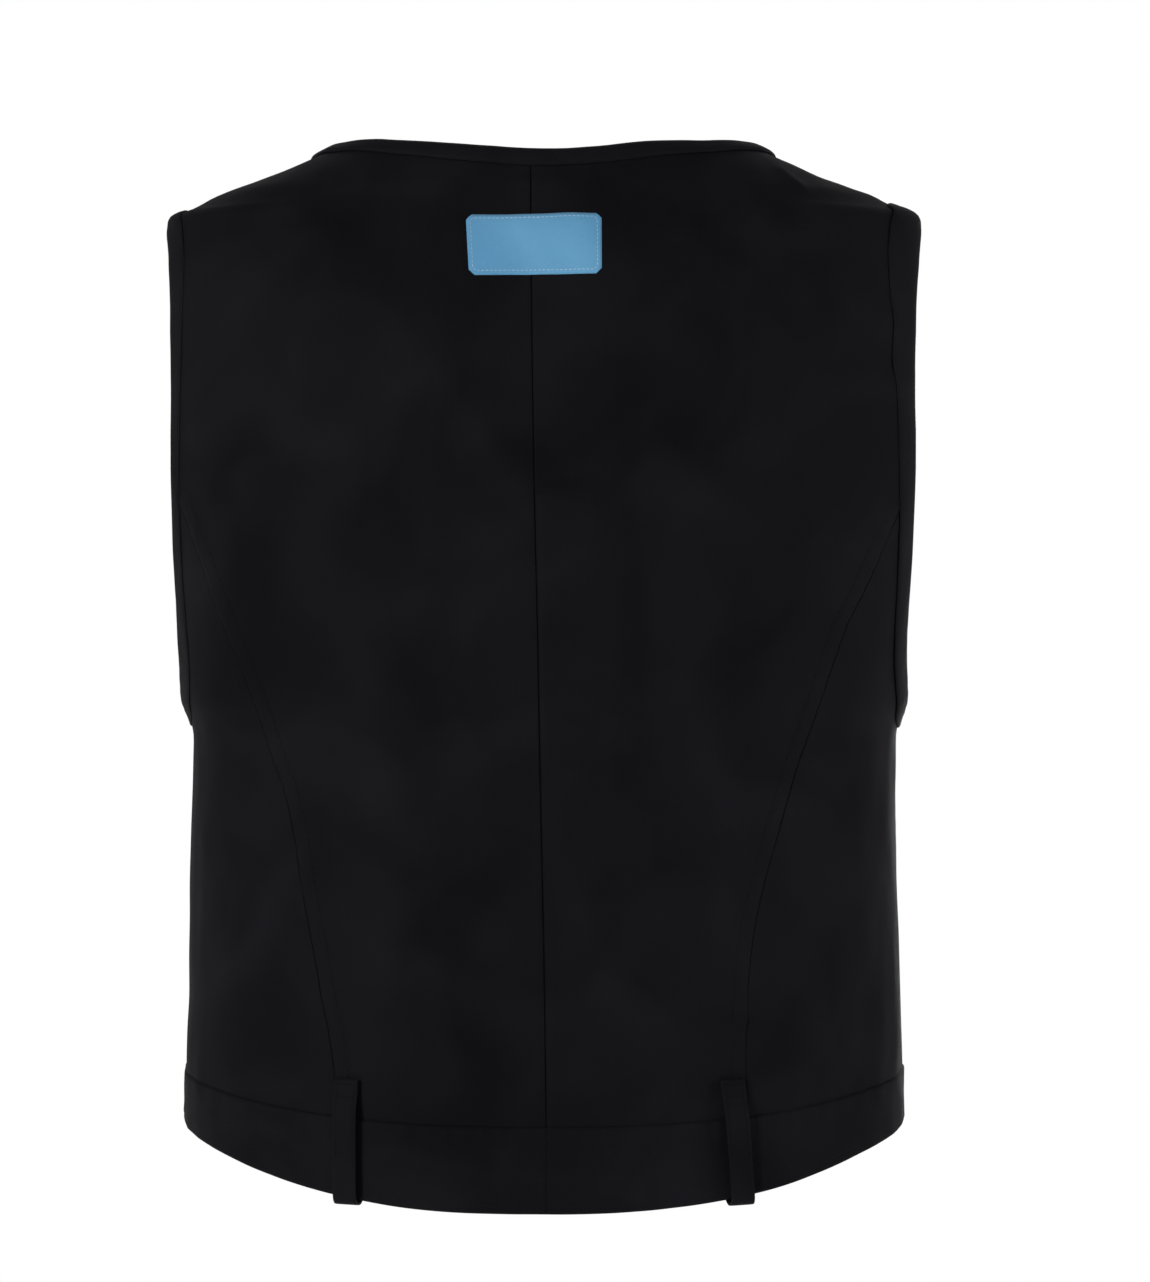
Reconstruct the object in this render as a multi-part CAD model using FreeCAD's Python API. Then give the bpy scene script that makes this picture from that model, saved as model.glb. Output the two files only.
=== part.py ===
import FreeCAD, Part

import math
import os

V = FreeCAD.Vector

# Lead apron of the vest type: a sleeveless vest with lead-rubber plies between its cloth and its lining.
# Millimetres. The wearer faces +Y, their right side is +X, and +Z is up.
# The origin is the shoulder seat, midway between the two shoulders where the vest hangs.

# The body form that every layer follows, from below the hem up to inside the neck hole:
# height, half width, depth of the back, depth of the front. Every section is a superellipse.
form_levels = [
    (-600.0, 194.2, 129.0, 122.0),
    (-314.0, 189.4, 127.0, 122.0),
    (-297.0, 194.4, 126.5, 122.0),
    (-235.0, 200.5, 125.5, 122.0),
    (-180.0, 204.5, 122.0, 120.0),
    (-120.0, 207.0, 113.0, 112.5),
    (-76.0, 208.5, 101.5, 99.0),
    (-54.0, 208.5, 94.0, 88.0),
    (-42.0, 203.5, 88.5, 78.0),
    (-31.5, 184.0, 84.0, 69.5),
    (-9.5, 130.0, 75.0, 53.0),
    (11.5, 78.0, 55.0, 34.0),
]
form_square = 2.5
facing_depth_ratio = 0.62
share_step = 0.15
root_reach = 1.5
front_start = 0.9
front_reach = 2.5
over_lap = 8.0

# Layers, as heights above the outer face of the cloth.
shell_layer = (0.0, -0.9)
ply_outer_layer = (-1.3, -2.1)
ply_inner_layer = (-2.4, -3.2)
lining_layer = (-3.5, -4.2)
binding_layer = (1.2, -5.8)
binding_hollow = (0.2, -4.8)
pad_layer = (-4.3, -8.3)
label_layer = (0.9, 0.2)
hook_layer = (-4.9, -5.6)
loop_layer = (0.9, 0.2)

# Edges of the vest.
neck_half_width = 116.0
neck_back_depth = 75.6
neck_square = 2.25
armhole_top = -38.0
armhole_bottom = -301.0
armhole_back_depth = 51.0
armhole_front_depth = 68.0
armhole_square = 3.2
shoulder_rise = 0.45
shoulder_seam_y = 36.0
seam_gap = 0.15
hem_side_z = -519.0
hem_radius = 262.0
hem_seam_side_z = -493.0
hem_seam_radius = 498.0
front_edge_x = -60.0
front_edge_top = (neck_half_width, -25.0)
front_edge_mid = (52.0, -142.0)
front_edge_low = (front_edge_x, -246.0)

# Bindings, hem band and ply margins.
binding_lip = 1.5
neck_band_width = 10.5
armhole_band_width = 11.5
front_band_width = 13.0
ply_margin = 14.0

# Princess seams of the back, from below the hem to beyond the armhole.
princess_right = [(101.0, -620.0), (102.0, -485.0), (106.5, -402.0), (124.0, -336.0), (147.5, -266.0),
                  (178.0, -214.0), (225.0, -150.0)]
princess_left = [(-99.0, -620.0), (-100.5, -485.0), (-116.0, -402.0), (-132.0, -336.0), (-154.0, -270.0),
                 (-180.0, -213.0), (-225.0, -140.0)]

# Label patch, belt loops, shoulder pads and closure.
label_centre = (-3.7, -64.0)
label_size = (69.0, 31.5)
label_chamfer = 5.0
loop_centre_x = 98.0
loop_width = 14.0
loop_thickness = 1.3
loop_top = -486.5
loop_tab = 9.0
loop_standoff = 3.6
loop_below_hem = 2.6
loop_inside_rise = 26.0
pad_centre = (148.5, -7.0)
pad_half_size = (20.5, 30.0)
strip_span_x = (-46.0, -8.0)
strip_span_z = (-473.0, -262.0)

# Sizes of the cutting tools, larger than the vest.
reach = 260.0
tool_top = 60.0
tool_bottom = -640.0
arc_reach = 200.0


def facing(share):
    """Which way the cloth faces at a share of the way round: 0 is the middle of the back, 1 the right side."""
    angle = math.radians(90.0 * share)
    power = form_square - 1.0
    across = math.copysign(facing_depth_ratio * abs(math.sin(angle)) ** power, math.sin(angle))
    along = math.copysign(abs(math.cos(angle)) ** power, math.cos(angle))
    return math.atan2(across, along)


def section_point(level, turn, lap):
    """The point of one level that faces this way, so that the rulings between two levels lie flat."""
    height, half_width, back_depth, front_depth = level
    across, along = math.sin(turn), math.cos(turn)
    depth = back_depth if along >= 0 else front_depth + lap
    wide = (half_width * abs(across)) ** (1.0 / (form_square - 1.0))
    deep = (depth * abs(along)) ** (1.0 / (form_square - 1.0))
    size = (wide ** form_square + deep ** form_square) ** (1.0 / form_square)
    return V(math.copysign(half_width * wide / size, across), -math.copysign(depth * deep / size, along), height)


def form(start, stop, lap_of):
    """The outer face of the cloth between two shares of the way round: points, and the way out at each."""
    steps = round((stop - start) / share_step)
    shares = [start + (stop - start) * step / steps for step in range(steps + 1)]
    grid = [[section_point(level, facing(share), lap_of(share)) for share in shares] for level in form_levels]
    outward = [V(math.sin(facing(share)), -math.cos(facing(share)), 0) for share in shares]
    ways = []
    for index in range(len(grid)):
        below, above = grid[max(index - 1, 0)], grid[min(index + 1, len(grid) - 1)]
        slopes = [(high - low).dot(way) / (high.z - low.z) for low, high, way in zip(below, above, outward)]
        ways.append([way * math.hypot(1.0, slope) for way, slope in zip(outward, slopes)])
    return grid, ways


def strips(low, high):
    """The flat faces between two neighbouring rows of points, two to each four points."""
    faces = []
    for low_start, low_stop, high_stop, high_start in zip(low, low[1:], high[1:], high):
        faces.append(Part.Face(Part.makePolygon([low_start, low_stop, high_stop, low_start])))
        faces.append(Part.Face(Part.makePolygon([low_start, high_stop, high_start, low_start])))
    return faces


def layer(cloth_form, heights):
    """A closed sheet of cloth between two heights above the form."""
    grid, ways = cloth_form
    outer, inner = [[[point + way * height for point, way in zip(*row)] for row in zip(grid, ways)]
                    for height in heights]
    faces = []
    for rows in (outer, inner):
        for low, high in zip(rows, rows[1:]):
            faces += strips(low, high)
    for level in (0, -1):
        faces += strips(outer[level], inner[level])
    for end in (0, -1):
        faces += strips([row[end] for row in outer], [row[end] for row in inner])
    shell = Part.makeShell(faces)
    shell.sewShape(0.001)
    solid = Part.makeSolid(shell)
    if solid.Volume < 0:
        solid.reverse()
    return solid


def foot_at(cloth_form, x, z):
    """Where the back of the form is at this x and height, and which way it faces there in plan."""
    grid = cloth_form[0]
    low, high = next(pair for pair in zip(grid, grid[1:]) if pair[0][0].z <= z <= pair[1][0].z)
    share = (z - low[0].z) / (high[0].z - low[0].z)
    row = [start + (stop - start) * share for start, stop in zip(low, high)]
    start, stop = next(pair for pair in zip(row, row[1:]) if pair[0].x <= x <= pair[1].x and pair[0].y < 0)
    foot = start + (stop - start) * ((x - start.x) / (stop.x - start.x))
    return foot, math.degrees(math.atan2(stop.y - start.y, stop.x - start.x))


def smooth_curve(points):
    curve = Part.BSplineCurve()
    curve.interpolate(points)
    return curve.toShape()


def polygon(points):
    return Part.makePolygon(points + [points[0]])


def superellipse(half_back, half_front, half_height, square, place):
    """A closed outline of short straight runs, deeper on one side than on the other."""
    points = []
    for step in range(32):
        angle = math.pi * (step + 0.5) / 16
        u = math.copysign(abs(math.cos(angle)) ** (2 / square), math.cos(angle))
        v = math.copysign(abs(math.sin(angle)) ** (2 / square), math.sin(angle))
        points.append(place(u * (half_front if u > 0 else half_back), v * half_height))
    return polygon(points)


def neck_hole(grow):
    """The neck opening of the back and the shoulders, seen from above."""
    width = neck_half_width + grow
    depth = neck_back_depth + grow
    points = []
    for step in range(17):
        angle = math.pi * step / 16
        across = math.copysign(abs(math.cos(angle)) ** (2 / neck_square), math.cos(angle))
        back = abs(math.sin(angle)) ** (2 / neck_square)
        points.append(V(width * across, -depth * back, -120.0))
    outline = polygon(points + [V(-width, 90, -120), V(width, 90, -120)])
    return Part.Face(outline).extrude(V(0, 0, tool_top + 180.0))


def armholes(grow):
    """Both armholes, seen from the side. They grow less at the top, where the shoulder slopes."""
    top = armhole_top + grow * shoulder_rise
    bottom = armhole_bottom - grow
    middle = (top + bottom) / 2
    outline = superellipse(
        armhole_back_depth + grow, armhole_front_depth + grow, (top - bottom) / 2, armhole_square,
        lambda u, v: V(95.0, u, middle + v))
    right = Part.Face(outline).extrude(V(reach - 95.0, 0, 0))
    left = right.mirror(V(0, 0, 0), V(1, 0, 0))
    return [right, left]


def hem_height(y):
    """Height of the hem edge: level at the front, and an arc that drops towards the middle of the back."""
    drop = hem_radius - math.sqrt(hem_radius ** 2 - min(y, 0.0) ** 2)
    return hem_side_z - drop


def under_arc(side_z, radius):
    """Everything lower than a line that is level at the front and drops in an arc towards the middle of the back."""
    half_turn = math.asin(arc_reach / radius) / 2
    low, middle = (V(-reach, -radius * math.sin(turn), side_z - radius * (1 - math.cos(turn)))
                   for turn in (2 * half_turn, half_turn))
    side = V(-reach, 0, side_z)
    corners = [side, V(-reach, reach, side_z), V(-reach, reach, tool_bottom), V(-reach, low.y, tool_bottom), low]
    outline = Part.Wire([Part.Arc(low, middle, side).toShape()] + polygon(corners).Edges[:4])
    return Part.Face(outline).extrude(V(2 * reach, 0, 0))


def below_hem(grow):
    return under_arc(hem_side_z + grow, hem_radius + grow)


def below_hem_seam():
    """The hem is turned up to this seam: deeper at the middle of the back than at the sides and the front."""
    return under_arc(hem_seam_side_z, hem_seam_radius)


def front_space(gap):
    """Where the front panels are: ahead of the side seams, and ahead of the shoulder seams higher up."""
    step_z = (armhole_top + armhole_bottom) / 2
    side_y = -gap
    seam_y = shoulder_seam_y - gap
    corners = [(side_y, tool_bottom), (reach, tool_bottom), (reach, tool_top), (seam_y, tool_top),
               (seam_y, step_z), (side_y, step_z)]
    outline = polygon([V(-reach, y, z) for y, z in corners])
    return Part.Face(outline).extrude(V(2 * reach, 0, 0))


def front_region(side, inset):
    """Where a front panel lies behind its front edge: side 1 is the right panel and -1 the left."""
    top_x, top_z = front_edge_top
    low_x, low_z = front_edge_low
    mid_x, mid_z = front_edge_mid
    curve = Part.Arc(V(top_x, 0, top_z), V(mid_x, 0, mid_z), V(low_x, 0, low_z)).toShape()
    corners = [V(low_x, 0, low_z), V(low_x, 0, tool_bottom), V(reach, 0, tool_bottom),
               V(reach, 0, tool_top), V(top_x, 0, tool_top), V(top_x, 0, top_z)]
    face = Part.Face(Part.Wire([curve] + polygon(corners).Edges[:5]))
    if inset > 0:
        face = face.makeOffset2D(-inset)
    prism = face.extrude(V(0, reach, 0))
    return prism if side > 0 else prism.mirror(V(0, 0, 0), V(1, 0, 0))


def centre_region(seam, side):
    """The middle of the back on one side, out to its princess seam."""
    points = [V(x, -reach, z) for x, z in seam]
    corners = [points[-1], V(points[-1].x, -reach, tool_top), V(0, -reach, tool_top),
               V(0, -reach, points[0].z), points[0]]
    outline = Part.Wire([smooth_curve(points)] + polygon(corners).Edges[:4])
    return Part.Face(outline).extrude(V(0, reach + 80.0, 0))


def block(x, y, z):
    return Part.makeBox(x[1] - x[0], y[1] - y[0], z[1] - z[0], V(x[0], y[0], z[0]))


def side_block(side):
    """One half of space, right for 1 and left for -1."""
    span = (0, reach) if side > 0 else (-reach, 0)
    return block(span, (-reach, reach), (tool_bottom, tool_top))


def cut_all(shape, tools):
    for tool in tools:
        shape = shape.cut(tool)
    return shape


def largest(shape):
    return max(shape.Solids, key=lambda solid: solid.Volume)


# The back, with the shoulders, is one body.

def back_lap(share):
    return over_lap if share > 0 else 0.0


def back_sheet(cloth_form, heights, grow):
    """A layer of the back, trimmed to its edges and drawn back from them by grow."""
    sheet = layer(cloth_form, heights)
    tools = [neck_hole(grow)] + armholes(grow) + [below_hem(grow), front_space(seam_gap + grow * 0.25)]
    return cut_all(sheet, tools)


def back_panels(cloth_form):
    sheet = back_sheet(cloth_form, shell_layer, binding_lip)
    pieces = {}
    for name, side, seam in (("right", 1, princess_right), ("left", -1, princess_left)):
        half = sheet.common(side_block(side))
        centre = centre_region(seam, side)
        pieces["back_panel_" + name] = largest(half.common(centre))
        pieces["side_back_panel_" + name] = largest(half.cut(centre))
    return pieces


def edge_wrap(cloth_form, outer_trim, inner_trim, band_region):
    """A folded binding: a U of cloth over an edge, as wide as band_region leaves it."""
    fold = cut_all(layer(cloth_form, binding_layer), outer_trim)
    core = cut_all(layer(cloth_form, binding_hollow), inner_trim)
    return fold.common(band_region).cut(core)


def back_bindings(cloth_form):
    seam_side = front_space(seam_gap)
    pieces = {}
    neck = edge_wrap(cloth_form, [neck_hole(0), seam_side], [neck_hole(binding_lip)], neck_hole(neck_band_width))
    pieces["neck_binding"] = largest(neck)
    for name, index in (("right", 0), ("left", 1)):
        trim = [armholes(0)[index], seam_side]
        ring = edge_wrap(cloth_form, trim, [armholes(binding_lip)[index]], armholes(armhole_band_width)[index])
        pieces["armhole_binding_back_" + name] = Part.makeCompound(ring.Solids)
    hem = edge_wrap(cloth_form, [below_hem(0), seam_side], [below_hem(binding_lip)], below_hem_seam())
    pieces["hem_band_back"] = largest(hem)
    return pieces


def label_patch(cloth_form):
    (cx, cz), (width, height), chamfer = label_centre, label_size, label_chamfer
    x1, x2, z1, z2 = cx - width / 2, cx + width / 2, cz - height / 2, cz + height / 2
    corners = [(x1 + chamfer, z1), (x2 - chamfer, z1), (x2, z1 + chamfer), (x2, z2 - chamfer),
               (x2 - chamfer, z2), (x1 + chamfer, z2), (x1, z2 - chamfer), (x1, z1 + chamfer)]
    outline = Part.Face(polygon([V(x, -reach, z) for x, z in corners]))
    return largest(layer(cloth_form, label_layer).common(outline.extrude(V(0, reach, 0))))


def shoulder_pad(cloth_form, side):
    centre = V(side * pad_centre[0], pad_centre[1], -120.0)
    turns = [math.pi * (step + 0.5) / 8 for step in range(16)]
    rim = [centre + V(pad_half_size[0] * math.cos(turn), pad_half_size[1] * math.sin(turn), 0) for turn in turns]
    disc = Part.Face(polygon(rim)).extrude(V(0, 0, 180.0))
    return largest(layer(cloth_form, pad_layer).common(disc))


def belt_loop(cloth_form, side):
    """A strap stitched above the hem band, standing off it and folded under the hem to the inside."""
    foot, turn = foot_at(cloth_form, side * loop_centre_x, loop_top)
    hem_z = hem_height(foot.y)
    tab_face = label_layer[1]
    slot_face = binding_layer[0] + loop_standoff
    bottom = hem_z - loop_below_hem - loop_thickness
    inside = binding_layer[1] - 0.3
    path = [
        (tab_face, loop_top), (tab_face, loop_top - loop_tab), (slot_face, loop_top - loop_tab - 7.0),
        (slot_face, bottom + 5.0), (slot_face - 4.0, bottom + loop_thickness),
        (inside + 2.0, bottom + loop_thickness), (inside, bottom + 4.0), (inside, hem_z + loop_inside_rise),
        (inside - loop_thickness, hem_z + loop_inside_rise), (inside - loop_thickness, bottom + 3.0),
        (inside + 1.2, bottom), (slot_face - 3.5, bottom), (slot_face + loop_thickness, bottom + 4.5),
        (slot_face + loop_thickness, loop_top - loop_tab - 6.5), (tab_face + loop_thickness, loop_top - loop_tab + 0.8),
        (tab_face + loop_thickness, loop_top),
    ]
    outline = polygon([V(-loop_width / 2, -out, z) for out, z in path])
    strap = Part.Face(outline).extrude(V(loop_width, 0, 0))
    strap.rotate(V(0, 0, 0), V(0, 0, 1), turn)
    strap.translate(V(foot.x, foot.y, 0))
    return strap


# Each front is a body of its own: the right one laps over the left one.

def front_form(side):
    lap = over_lap if side > 0 else 0.0
    if side > 0:
        return form(front_start, front_reach, lambda share: lap)
    return form(-front_reach, -front_start, lambda share: lap)


def front_trims(side, grow):
    """What is cut from a front layer: armhole, hem, and the space of the back body."""
    index = 0 if side > 0 else 1
    back_space = block((-reach, reach), (-reach, reach), (tool_bottom, tool_top)).cut(
        front_space(-seam_gap - grow * 0.25))
    return [armholes(grow)[index], below_hem(grow), back_space]


def front_sheet(cloth_form, side, heights, grow):
    sheet = cut_all(layer(cloth_form, heights), front_trims(side, grow))
    return largest(sheet.common(front_region(side, grow)))


def front_panel(side):
    cloth_form = front_form(side)
    name = "right" if side > 0 else "left"
    index = 0 if side > 0 else 1
    ends = front_trims(side, 0)
    pieces = {}
    pieces["front_panel_" + name] = front_sheet(cloth_form, side, shell_layer, binding_lip)
    pieces["front_ply_outer_" + name] = front_sheet(cloth_form, side, ply_outer_layer, ply_margin)
    pieces["front_ply_inner_" + name] = front_sheet(cloth_form, side, ply_inner_layer, ply_margin)
    pieces["front_lining_" + name] = front_sheet(cloth_form, side, lining_layer, binding_lip)
    region = front_region(side, 0)
    core_region = front_region(side, binding_lip)
    fold = cut_all(layer(cloth_form, binding_layer), ends).common(region)
    core = layer(cloth_form, binding_hollow)
    edge = fold.cut(front_region(side, front_band_width)).cut(core.common(core_region))
    pieces["front_edge_binding_" + name] = largest(edge)
    inside_edge = fold.common(front_region(side, front_band_width))
    arm = inside_edge.common(armholes(armhole_band_width)[index]).cut(core.cut(armholes(binding_lip)[index]))
    pieces["armhole_binding_front_" + name] = largest(arm)
    hem = inside_edge.common(below_hem_seam()).cut(core.cut(below_hem(binding_lip)))
    pieces["hem_band_front_" + name] = largest(hem)
    strip = block(strip_span_x, (0, reach), strip_span_z)
    if side > 0:
        pieces["hook_strip"] = largest(layer(cloth_form, hook_layer).common(strip))
    else:
        pieces["loop_strip"] = largest(layer(cloth_form, loop_layer).common(strip))
    return pieces


def build():
    back = form(-root_reach, root_reach, back_lap)
    pieces = back_panels(back)
    pieces["back_ply_outer"] = largest(back_sheet(back, ply_outer_layer, ply_margin))
    pieces["back_ply_inner"] = largest(back_sheet(back, ply_inner_layer, ply_margin))
    pieces["back_lining"] = largest(back_sheet(back, lining_layer, binding_lip))
    pieces.update(back_bindings(back))
    pieces["label_patch"] = label_patch(back)
    for name, side in (("right", 1), ("left", -1)):
        pieces["shoulder_pad_" + name] = shoulder_pad(back, side)
        pieces["belt_loop_" + name] = belt_loop(back, side)
        pieces.update(front_panel(side))
    return pieces


def main():
    os.makedirs("parts", exist_ok=True)
    for node, shape in build().items():
        shape.exportStep("parts/" + node + ".step")
        print(node, len(shape.Solids), shape.isValid(), round(shape.Volume / 1000.0, 2))


if __name__ == "__main__":
    main()
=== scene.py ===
import math
from bisect import bisect_right

import bmesh
import bpy
from mathutils import Matrix, Vector, noise


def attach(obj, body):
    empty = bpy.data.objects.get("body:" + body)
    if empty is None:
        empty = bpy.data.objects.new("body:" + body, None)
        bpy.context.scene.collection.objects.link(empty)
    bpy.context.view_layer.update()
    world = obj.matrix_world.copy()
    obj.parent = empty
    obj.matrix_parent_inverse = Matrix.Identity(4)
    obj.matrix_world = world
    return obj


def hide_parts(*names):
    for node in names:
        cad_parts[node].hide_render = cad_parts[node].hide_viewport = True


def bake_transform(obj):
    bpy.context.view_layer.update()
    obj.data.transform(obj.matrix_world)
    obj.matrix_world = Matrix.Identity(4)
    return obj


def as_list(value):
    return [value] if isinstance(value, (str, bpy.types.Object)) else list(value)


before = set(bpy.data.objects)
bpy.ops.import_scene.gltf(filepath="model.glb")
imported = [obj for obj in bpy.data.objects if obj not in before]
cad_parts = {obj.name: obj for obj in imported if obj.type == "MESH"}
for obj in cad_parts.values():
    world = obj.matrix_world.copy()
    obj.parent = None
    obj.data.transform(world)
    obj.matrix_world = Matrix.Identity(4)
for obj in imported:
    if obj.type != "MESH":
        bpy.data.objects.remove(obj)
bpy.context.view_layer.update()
print("frame loaded")

# Metres. The wearer faces +Y and their right side is +X, so the camera sees the back.
sides = ((1, "Right"), (-1, "Left"))

# the form of the vest: every piece of cloth lies on it, or a little above or below it

form = {
    # height, half width, depth of the back, depth of the front
    "levels": [
        (-0.640, 0.1946, 0.1290, 0.1220),
        (-0.530, 0.1926, 0.1288, 0.1220),
        (-0.470, 0.1914, 0.1282, 0.1220),
        (-0.400, 0.1900, 0.1275, 0.1220),
        (-0.345, 0.1892, 0.1270, 0.1220),
        (-0.318, 0.1890, 0.1269, 0.1220),
        (-0.308, 0.1905, 0.1268, 0.1220),
        (-0.297, 0.1944, 0.1266, 0.1220),
        (-0.280, 0.1962, 0.1264, 0.1220),
        (-0.235, 0.2006, 0.1255, 0.1220),
        (-0.180, 0.2045, 0.1220, 0.1200),
        (-0.120, 0.2070, 0.1130, 0.1125),
        (-0.076, 0.2083, 0.1015, 0.0990),
        (-0.054, 0.2068, 0.0940, 0.0880),
        (-0.0455, 0.2048, 0.0895, 0.0800),
        (-0.0408, 0.2020, 0.0873, 0.0762),
        (-0.0384, 0.1980, 0.0863, 0.0745),
        (-0.0366, 0.1925, 0.0856, 0.0732),
        (-0.0335, 0.1860, 0.0845, 0.0706),
        (-0.0289, 0.1775, 0.0831, 0.0673),
        (-0.0225, 0.1600, 0.0807, 0.0625),
        (-0.0165, 0.1450, 0.0785, 0.0582),
        (-0.0095, 0.1295, 0.0750, 0.0530),
        (0.0015, 0.1060, 0.0660, 0.0440),
        (0.0115, 0.0810, 0.0550, 0.0340),
        (0.0215, 0.0500, 0.0400, 0.0240),
    ],
    "square": 2.5,
    "overLap": 0.008,  # how much further out the right front lies
}

edges = {
    # straight: the share of the neck band beside each shoulder that runs straight
    "neck": {"halfWidth": 0.116, "backDepth": 0.0760, "square": 2.25, "straight": 0.13},
    # rise and drop: how much of the band's width shows above and below the hole, whose corners grow squarer outwards;
    # reach: nothing nearer the middle than this is cut
    "armhole": {"top": -0.038, "bottom": -0.301, "back": 0.051, "front": 0.068, "square": 3.2, "squarer": 91.0,
                "rise": {1: 0.28, -1: 0.14}, "drop": 0.73, "reach": 0.095},
    # height at the side seam, radius of the arc in profile, and how far the arc is lifted half way to the middle
    "hem": {"side": -0.519, "radius": 0.262, "lift": 0.0028},
    "hemSeam": {"side": -0.493, "radius": 0.498, "lift": 0.0012},
    "hemDepth": 0.129,  # of the back
    # three points of an arc, and the shares of the edge above it and along it
    "frontEdge": {"top": (0.116, -0.025), "middle": (0.052, -0.142), "low": (-0.060, -0.246), "straight": 0.06,
                  "curved": 0.48},
    "shoulderSeam": 0.036,
    "princess": {
        1: [(-0.640, 0.1015), (-0.530, 0.1024), (-0.485, 0.1030), (-0.457, 0.1037), (-0.436, 0.1049),
            (-0.413, 0.1074), (-0.390, 0.1122), (-0.370, 0.1174), (-0.348, 0.1239), (-0.328, 0.1303),
            (-0.312, 0.1366), (-0.290, 0.1445), (-0.274, 0.1500), (-0.258, 0.1556), (-0.240, 0.1648),
            (-0.214, 0.1771), (-0.150, 0.2100)],
        -1: [(-0.640, -0.0995), (-0.530, -0.1015), (-0.485, -0.1045), (-0.465, -0.1073), (-0.451, -0.1099),
             (-0.433, -0.1128), (-0.418, -0.1157), (-0.402, -0.1187), (-0.383, -0.1223), (-0.362, -0.1264),
             (-0.341, -0.1314), (-0.325, -0.1376), (-0.299, -0.1463), (-0.274, -0.1560), (-0.253, -0.1636),
             (-0.215, -0.1790), (-0.150, -0.2100)],
    },
    # the cloth turned back beside a princess seam: as far as the stitches, where it falls away over a short way
    "allowance": {"width": 0.0072, "rise": 0.0004, "ramp": 0.0008, "fall": (-0.0014, 0.0002)},
    "centreSeam": [(-0.600, 0.0035), (-0.552, 0.0030), (-0.446, 0.0019), (-0.345, -0.0001), (-0.265, -0.0016),
                   (-0.144, -0.0042), (-0.021, -0.0057), (0.050, -0.0060)],
}


def slopesOf(rows):  # slopes that never let the curve overshoot its points
    slopes = []
    for index, row in enumerate(rows):
        low, high = rows[max(index - 1, 0)], rows[min(index + 1, len(rows) - 1)]
        line = []
        for column in range(1, len(row)):
            if low is row or high is row:
                line.append((high[column] - low[column]) / (high[0] - low[0]))
                continue
            before = (row[column] - low[column]) / (row[0] - low[0])
            after = (high[column] - row[column]) / (high[0] - row[0])
            line.append(0.0 if before * after <= 0 else 2 * before * after / (before + after))
        slopes.append(line)
    return slopes


class Course:  # a smooth course through rows of numbers, read at any value of their first column
    def __init__(self, rows):
        self.rows = rows
        self.keys = [row[0] for row in rows]
        self.slopes = slopesOf(rows)

    def at(self, key):
        key = min(max(key, self.keys[0]), self.keys[-1])
        index = min(bisect_right(self.keys, key), len(self.keys) - 1) - 1
        low, high = self.rows[index], self.rows[index + 1]
        span = high[0] - low[0]
        t = (key - low[0]) / span
        found = []
        for column in range(1, len(low)):
            start, stop = low[column], high[column]
            startSlope, stopSlope = self.slopes[index][column - 1] * span, self.slopes[index + 1][column - 1] * span
            found.append(start + t * (startSlope + t * (3 * (stop - start) - 2 * startSlope - stopSlope
                                                       + t * (2 * (start - stop) + startSlope + stopSlope))))
        return found


sizes = Course(form["levels"])
centreSeam = Course(edges["centreSeam"])
princess = {side: Course(edges["princess"][side]) for side in (1, -1)}


def heightRuns():  # length of the side of the form against its height, so that rows of cloth are evenly spaced
    rows, run, height, step = [], 0.0, form["levels"][0][0], 0.001
    low = sizes.at(height)[0]
    while height < form["levels"][-1][0]:
        rows.append((run, height))
        height += step
        wide = sizes.at(height)[0]
        run += math.hypot(step, wide - low)
        low = wide
    rows.append((run, height))
    return rows


runs = heightRuns()
runKeys = [row[0] for row in runs]
heightKeys = [row[1] for row in runs]


def between(keys, values, key):
    index = min(max(bisect_right(keys, key), 1), len(keys) - 1)
    low, high = keys[index - 1], keys[index]
    return values[index - 1] + (values[index] - values[index - 1]) * (key - low) / (high - low)


def heightAtRun(run):
    return between(runKeys, heightKeys, run)


def runAtHeight(height):
    return between(heightKeys, runKeys, height)


def cornered(value, square):
    return math.copysign(abs(value) ** (2 / square), value)


def depthAt(height, lapped):
    wide, back, front = sizes.at(height)
    return wide, back, front + (form["overLap"] if lapped else 0.0)


def sectionPoint(share, height, lapped):
    wide, back, front = depthAt(height, lapped)
    angle = share * math.pi / 2
    across, along = math.sin(angle), math.cos(angle)
    size = (abs(across) ** form["square"] + abs(along) ** form["square"]) ** (1 / form["square"])
    return Vector((wide * across / size, -(back if along > 0 else front) * along / size, height))


def roundness(point, lapped):  # below 1 inside the form, above 1 outside it
    wide, back, front = depthAt(point.z, lapped)
    depth = back if point.y < 0 else front
    return abs(point.x / wide) ** form["square"] + abs(point.y / depth) ** form["square"]


def wayOut(point, lapped):
    step = 0.0006
    slope = [roundness(point + shift, lapped) - roundness(point - shift, lapped)
             for shift in (Vector((step, 0, 0)), Vector((0, step, 0)), Vector((0, 0, step)))]
    return Vector(slope).normalized()


def xOver(y, z, lapped):  # the side of the form at this depth and height
    wide, back, front = depthAt(z, lapped)
    rest = max(1 - abs(y / (back if y < 0 else front)) ** form["square"], 1e-6)
    return wide * rest ** (1 / form["square"])


def yOver(x, z, lapped, front=True):
    wide, back, ahead = depthAt(z, lapped)
    rest = max(1 - abs(x / wide) ** form["square"], 1e-6) ** (1 / form["square"])
    return ahead * rest if front else -back * rest


def halving(low, high, steps, tooFar):  # closes in on the place where tooFar begins
    for _ in range(steps):
        middle = (low + high) / 2
        low, high = (low, middle) if tooFar(middle) else (middle, high)
    return low, high


def zOver(x, y, lapped):  # the top of the form over this place
    return halving(-0.14, 0.024, 26, lambda z: roundness(Vector((x, y, z)), lapped) > 1)[0]


# the edges, as signed distances: above 0 is cut away

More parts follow.
